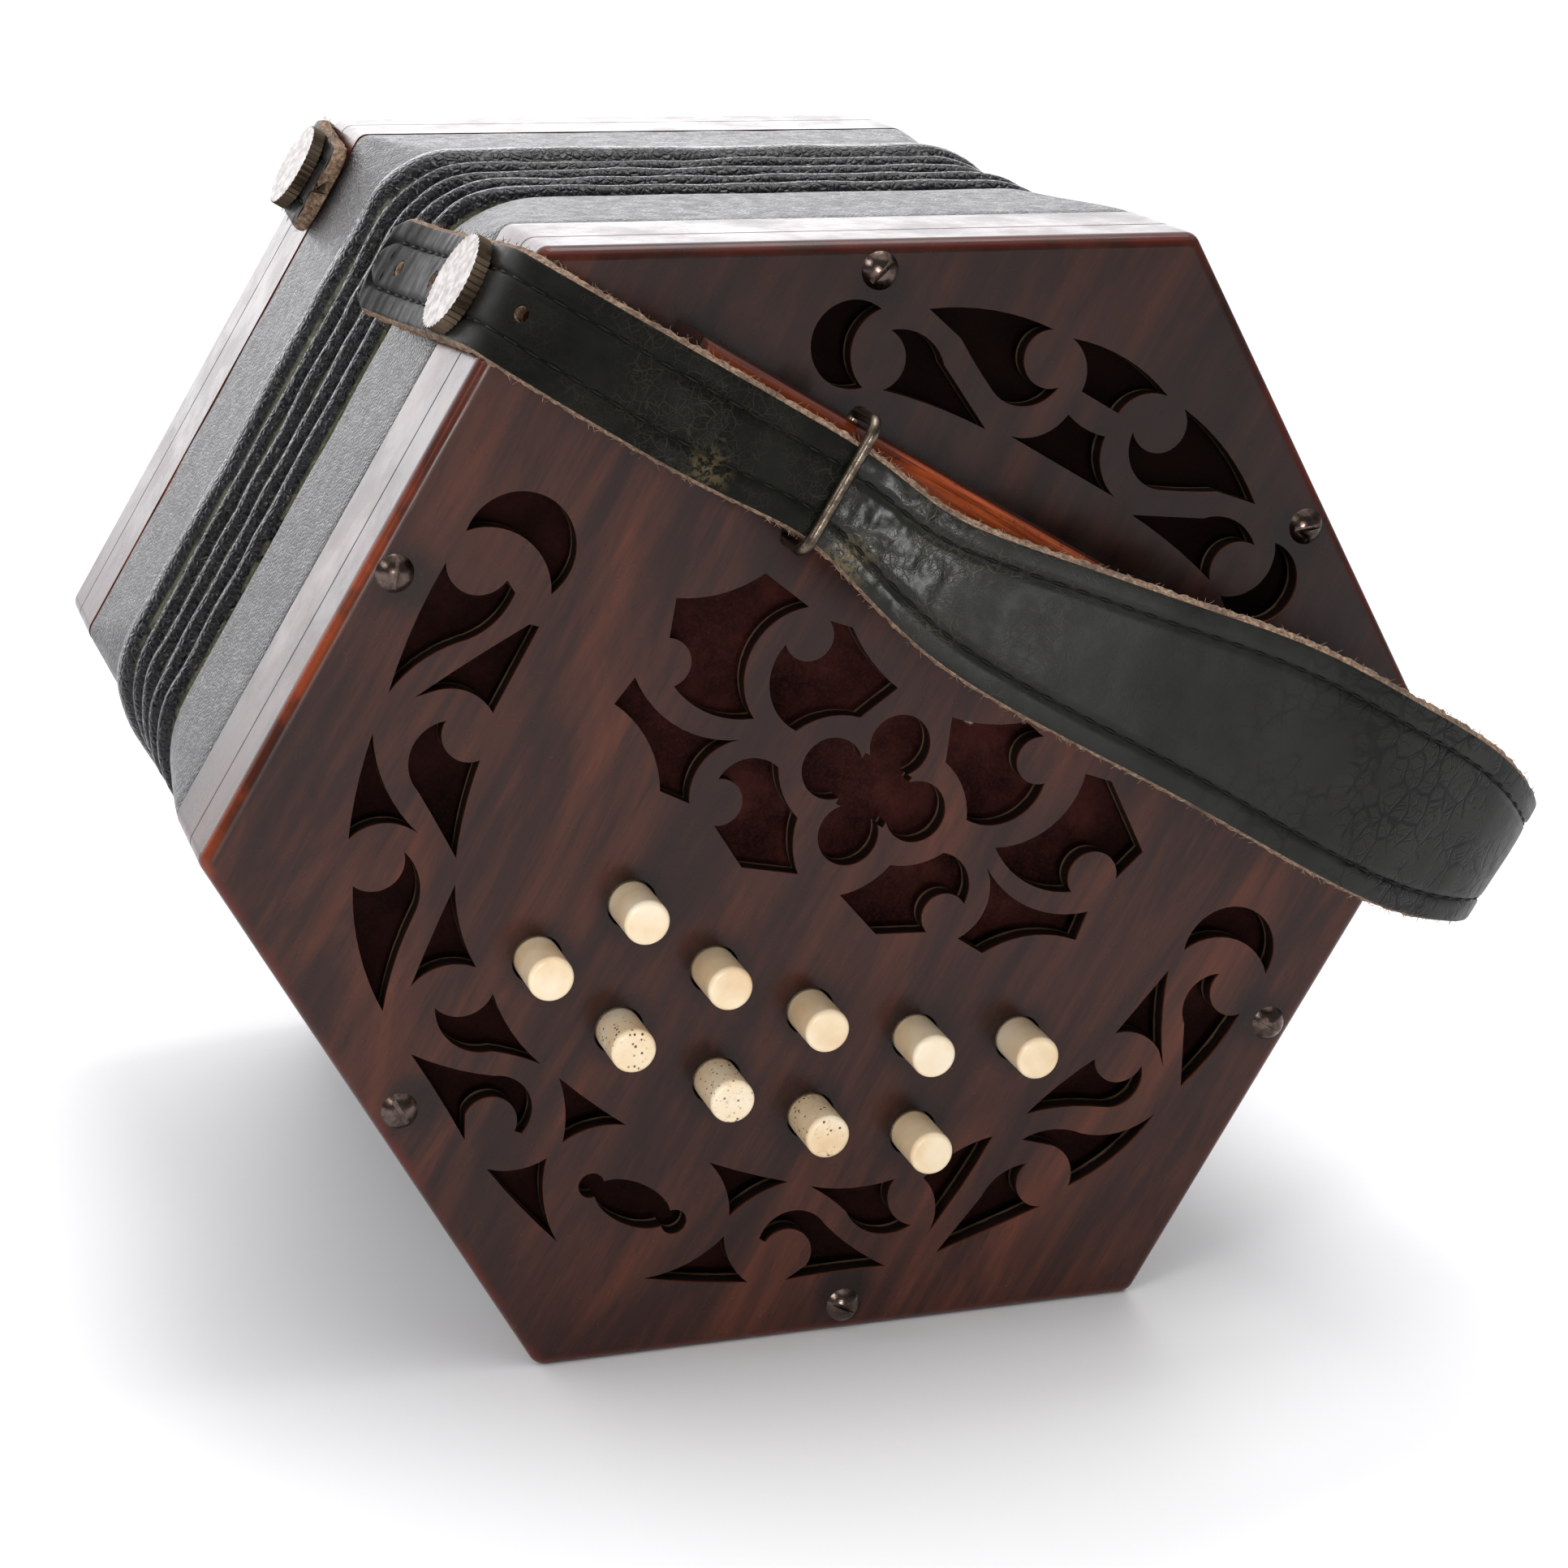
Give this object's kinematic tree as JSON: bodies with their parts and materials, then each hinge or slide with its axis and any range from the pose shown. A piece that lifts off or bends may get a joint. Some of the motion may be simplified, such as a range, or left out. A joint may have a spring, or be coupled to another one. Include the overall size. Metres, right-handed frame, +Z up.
{
  "type": "concertina",
  "caption": "Hexagonal Anglo concertina: fretted rosewood ends, bone buttons, leather bellows, hand rails with leather straps and thumbscrews.",
  "frame": {"origin": "centre of the bounding box's lowest face: on the surface it stands on, midway between the two ends", "axes": "+Z up; +Y along the bellows from the left-hand end to the right-hand end; +X towards the side where both hand straps curl over the case"},
  "size_m": [0.1892, 0.2076, 0.1594],
  "materials": {
    "rosewood": "french polished, worn orange at the edges",
    "rail_wood": "french polished",
    "spruce": "bare",
    "baffle_leather": "matt",
    "bellows_leather": "fine grain, satin",
    "strap_leather": "smooth black, tan raw edges",
    "bone": "polished bone",
    "steel": "tarnished",
    "nickel": "polished nickel silver, knurled edge",
    "dark_brass": "tarnished",
    "brass": "plain"
  },
  "bodies": {
    "left_end": {"left_end_plate": "rosewood", "left_baffle": "baffle_leather", "left_action_box": "rosewood", "left_action_board": "spruce", "left_bellows_frame": "bellows_leather", "left_end_screws": "steel", "left_hand_rail": "rail_wood", "left_strap_loop": "dark_brass", "left_hand_strap": "strap_leather", "left_reed_pan": "spruce", "left_reeds": "brass"},
    "fold_1": {"bellows_fold_1": "bellows_leather"},
    "fold_2": {"bellows_fold_2": "bellows_leather"},
    "fold_3": {"bellows_fold_3": "bellows_leather"},
    "fold_4": {"bellows_fold_4": "bellows_leather"},
    "fold_5": {"bellows_fold_5": "bellows_leather"},
    "right_end": {"right_end_plate": "rosewood", "right_baffle": "baffle_leather", "right_action_box": "rosewood", "right_action_board": "spruce", "right_bellows_frame": "bellows_leather", "right_end_screws": "steel", "right_hand_rail": "rail_wood", "right_strap_loop": "dark_brass", "right_hand_strap": "strap_leather", "right_reed_pan": "spruce", "right_reeds": "brass"},
    "left_button_1": {"left_button_1": "bone"},
    "left_lever_1": {"left_lever_1": "brass"},
    "left_button_2": {"left_button_2": "bone"},
    "left_lever_2": {"left_lever_2": "brass"},
    "left_button_3": {"left_button_3": "bone"},
    "left_lever_3": {"left_lever_3": "brass"},
    "left_button_4": {"left_button_4": "bone"},
    "left_lever_4": {"left_lever_4": "brass"},
    "left_button_5": {"left_button_5": "bone"},
    "left_lever_5": {"left_lever_5": "brass"},
    "left_button_6": {"left_button_6": "bone"},
    "left_lever_6": {"left_lever_6": "brass"},
    "left_button_7": {"left_button_7": "bone"},
    "left_lever_7": {"left_lever_7": "brass"},
    "left_button_8": {"left_button_8": "bone"},
    "left_lever_8": {"left_lever_8": "brass"},
    "left_button_9": {"left_button_9": "bone"},
    "left_lever_9": {"left_lever_9": "brass"},
    "left_button_10": {"left_button_10": "bone"},
    "left_lever_10": {"left_lever_10": "brass"},
    "right_button_1": {"right_button_1": "bone"},
    "right_button_2": {"right_button_2": "bone"},
    "right_button_3": {"right_button_3": "bone"},
    "right_button_4": {"right_button_4": "bone"},
    "right_button_5": {"right_button_5": "bone"},
    "right_button_6": {"right_button_6": "bone"},
    "right_button_7": {"right_button_7": "bone"},
    "right_button_8": {"right_button_8": "bone"},
    "right_button_9": {"right_button_9": "bone"},
    "right_button_10": {"right_button_10": "bone"},
    "right_air_button": {"right_air_button": "bone"},
    "left_thumbscrew": {"left_thumbscrew": "nickel"},
    "right_thumbscrew": {"right_thumbscrew": "nickel"}
  },
  "joints": [
    {"name": "bellows_open_1", "type": "slide", "parent": "left_end", "child": "fold_1", "axis": [0, 1, 0], "range_m": [0, 0.024]},
    {"name": "bellows_open_2", "type": "slide", "parent": "fold_1", "child": "fold_2", "axis": [0, 1, 0], "range_m": [0, 0.024]},
    {"name": "bellows_open_3", "type": "slide", "parent": "fold_2", "child": "fold_3", "axis": [0, 1, 0], "range_m": [0, 0.024]},
    {"name": "bellows_open_4", "type": "slide", "parent": "fold_3", "child": "fold_4", "axis": [0, 1, 0], "range_m": [0, 0.024]},
    {"name": "bellows_open_5", "type": "slide", "parent": "fold_4", "child": "fold_5", "axis": [0, 1, 0], "range_m": [0, 0.024]},
    {"name": "bellows_open_6", "type": "slide", "parent": "fold_5", "child": "right_end", "axis": [0, 1, 0], "range_m": [0, 0.024]},
    {"name": "left_button_1_press", "type": "slide", "parent": "left_end", "child": "left_button_1", "axis": [0, 1, 0], "range_m": [0, 0.0025], "stiffness_N_per_m": 120, "springref_m": -0.005},
    {"name": "left_lever_1_tilt", "type": "hinge", "parent": "left_end", "child": "left_lever_1", "pos_m": [-0.03099, -0.0581, 0.07754], "axis": [0.866, 0, -0.5], "range_deg": [0, 14.5]},
    {"name": "left_button_2_press", "type": "slide", "parent": "left_end", "child": "left_button_2", "axis": [0, 1, 0], "range_m": [0, 0.0025], "stiffness_N_per_m": 120, "springref_m": -0.005},
    {"name": "left_lever_2_tilt", "type": "hinge", "parent": "left_end", "child": "left_lever_2", "pos_m": [-0.01899, -0.0581, 0.06692], "axis": [0.866, 0, -0.5], "range_deg": [0, 14.5]},
    {"name": "left_button_3_press", "type": "slide", "parent": "left_end", "child": "left_button_3", "axis": [0, 1, 0], "range_m": [0, 0.0025], "stiffness_N_per_m": 120, "springref_m": -0.005},
    {"name": "left_lever_3_tilt", "type": "hinge", "parent": "left_end", "child": "left_lever_3", "pos_m": [-0.00471, -0.0581, 0.05925], "axis": [0.866, 0, -0.5], "range_deg": [0, 14.5]},
    {"name": "left_button_4_press", "type": "slide", "parent": "left_end", "child": "left_button_4", "axis": [0, 1, 0], "range_m": [0, 0.0025], "stiffness_N_per_m": 120, "springref_m": -0.005},
    {"name": "left_lever_4_tilt", "type": "hinge", "parent": "left_end", "child": "left_lever_4", "pos_m": [0.01131, -0.0581, 0.05381], "axis": [0.866, 0, -0.5], "range_deg": [0, 14.5]},
    {"name": "left_button_5_press", "type": "slide", "parent": "left_end", "child": "left_button_5", "axis": [0, 1, 0], "range_m": [0, 0.0025], "stiffness_N_per_m": 120, "springref_m": -0.005},
    {"name": "left_lever_5_tilt", "type": "hinge", "parent": "left_end", "child": "left_lever_5", "pos_m": [0.02719, -0.0581, 0.05192], "axis": [0.866, 0, -0.5], "range_deg": [0, 14.5]},
    {"name": "left_button_6_press", "type": "slide", "parent": "left_end", "child": "left_button_6", "axis": [0, 1, 0], "range_m": [0, 0.0025], "stiffness_N_per_m": 120, "springref_m": -0.005},
    {"name": "left_lever_6_tilt", "type": "hinge", "parent": "left_end", "child": "left_lever_6", "pos_m": [-0.0543, -0.0581, 0.05336], "axis": [-0.866, 0, 0.5], "range_deg": [0, 14.5]},
    {"name": "left_button_7_press", "type": "slide", "parent": "left_end", "child": "left_button_7", "axis": [0, 1, 0], "range_m": [0, 0.0025], "stiffness_N_per_m": 120, "springref_m": -0.005},
    {"name": "left_lever_7_tilt", "type": "hinge", "parent": "left_end", "child": "left_lever_7", "pos_m": [-0.04263, -0.0581, 0.04177], "axis": [-0.866, 0, 0.5], "range_deg": [0, 14.5]},
    {"name": "left_button_8_press", "type": "slide", "parent": "left_end", "child": "left_button_8", "axis": [0, 1, 0], "range_m": [0, 0.0025], "stiffness_N_per_m": 120, "springref_m": -0.005},
    {"name": "left_lever_8_tilt", "type": "hinge", "parent": "left_end", "child": "left_lever_8", "pos_m": [-0.0283, -0.0581, 0.0328], "axis": [-0.866, 0, 0.5], "range_deg": [0, 14.5]},
    {"name": "left_button_9_press", "type": "slide", "parent": "left_end", "child": "left_button_9", "axis": [0, 1, 0], "range_m": [0, 0.0025], "stiffness_N_per_m": 120, "springref_m": -0.005},
    {"name": "left_lever_9_tilt", "type": "hinge", "parent": "left_end", "child": "left_lever_9", "pos_m": [-0.01415, -0.0581, 0.0259], "axis": [-0.866, 0, 0.5], "range_deg": [0, 14.5]},
    {"name": "left_button_10_press", "type": "slide", "parent": "left_end", "child": "left_button_10", "axis": [0, 1, 0], "range_m": [0, 0.0025], "stiffness_N_per_m": 120, "springref_m": -0.005},
    {"name": "left_lever_10_tilt", "type": "hinge", "parent": "left_end", "child": "left_lever_10", "pos_m": [0.00158, -0.0581, 0.02155], "axis": [-0.866, 0, 0.5], "range_deg": [0, 14.5]},
    {"name": "right_button_1_press", "type": "slide", "parent": "right_end", "child": "right_button_1", "axis": [0, -1, 0], "range_m": [0, 0.0025], "stiffness_N_per_m": 120, "springref_m": -0.005},
    {"name": "right_button_2_press", "type": "slide", "parent": "right_end", "child": "right_button_2", "axis": [0, -1, 0], "range_m": [0, 0.0025], "stiffness_N_per_m": 120, "springref_m": -0.005},
    {"name": "right_button_3_press", "type": "slide", "parent": "right_end", "child": "right_button_3", "axis": [0, -1, 0], "range_m": [0, 0.0025], "stiffness_N_per_m": 120, "springref_m": -0.005},
    {"name": "right_button_4_press", "type": "slide", "parent": "right_end", "child": "right_button_4", "axis": [0, -1, 0], "range_m": [0, 0.0025], "stiffness_N_per_m": 120, "springref_m": -0.005},
    {"name": "right_button_5_press", "type": "slide", "parent": "right_end", "child": "right_button_5", "axis": [0, -1, 0], "range_m": [0, 0.0025], "stiffness_N_per_m": 120, "springref_m": -0.005},
    {"name": "right_button_6_press", "type": "slide", "parent": "right_end", "child": "right_button_6", "axis": [0, -1, 0], "range_m": [0, 0.0025], "stiffness_N_per_m": 120, "springref_m": -0.005},
    {"name": "right_button_7_press", "type": "slide", "parent": "right_end", "child": "right_button_7", "axis": [0, -1, 0], "range_m": [0, 0.0025], "stiffness_N_per_m": 120, "springref_m": -0.005},
    {"name": "right_button_8_press", "type": "slide", "parent": "right_end", "child": "right_button_8", "axis": [0, -1, 0], "range_m": [0, 0.0025], "stiffness_N_per_m": 120, "springref_m": -0.005},
    {"name": "right_button_9_press", "type": "slide", "parent": "right_end", "child": "right_button_9", "axis": [0, -1, 0], "range_m": [0, 0.0025], "stiffness_N_per_m": 120, "springref_m": -0.005},
    {"name": "right_button_10_press", "type": "slide", "parent": "right_end", "child": "right_button_10", "axis": [0, -1, 0], "range_m": [0, 0.0025], "stiffness_N_per_m": 120, "springref_m": -0.005},
    {"name": "right_air_button_press", "type": "slide", "parent": "right_end", "child": "right_air_button", "axis": [0, -1, 0], "range_m": [0, 0.0025], "stiffness_N_per_m": 120, "springref_m": -0.005},
    {"name": "left_thumbscrew_turn", "type": "hinge", "parent": "left_end", "child": "left_thumbscrew", "pos_m": [-0.05393, -0.0584, 0.1506], "axis": [-0.866, 0, 0.5], "continuous": true},
    {"name": "right_thumbscrew_turn", "type": "hinge", "parent": "right_end", "child": "right_thumbscrew", "pos_m": [-0.05393, 0.0584, 0.1506], "axis": [-0.866, 0, 0.5], "continuous": true}
  ],
  "couplings": [
    {"joint": "bellows_open_2", "follows": "bellows_open_1", "ratio": 1},
    {"joint": "bellows_open_3", "follows": "bellows_open_1", "ratio": 1},
    {"joint": "bellows_open_4", "follows": "bellows_open_1", "ratio": 1},
    {"joint": "bellows_open_5", "follows": "bellows_open_1", "ratio": 1},
    {"joint": "bellows_open_6", "follows": "bellows_open_1", "ratio": 1},
    {"joint": "left_lever_1_tilt", "follows": "left_button_1_press", "rad_per_m": 100},
    {"joint": "left_lever_2_tilt", "follows": "left_button_2_press", "rad_per_m": 100},
    {"joint": "left_lever_3_tilt", "follows": "left_button_3_press", "rad_per_m": 100},
    {"joint": "left_lever_4_tilt", "follows": "left_button_4_press", "rad_per_m": 100},
    {"joint": "left_lever_5_tilt", "follows": "left_button_5_press", "rad_per_m": 100},
    {"joint": "left_lever_6_tilt", "follows": "left_button_6_press", "rad_per_m": 100},
    {"joint": "left_lever_7_tilt", "follows": "left_button_7_press", "rad_per_m": 100},
    {"joint": "left_lever_8_tilt", "follows": "left_button_8_press", "rad_per_m": 100},
    {"joint": "left_lever_9_tilt", "follows": "left_button_9_press", "rad_per_m": 100},
    {"joint": "left_lever_10_tilt", "follows": "left_button_10_press", "rad_per_m": 100}
  ]
}
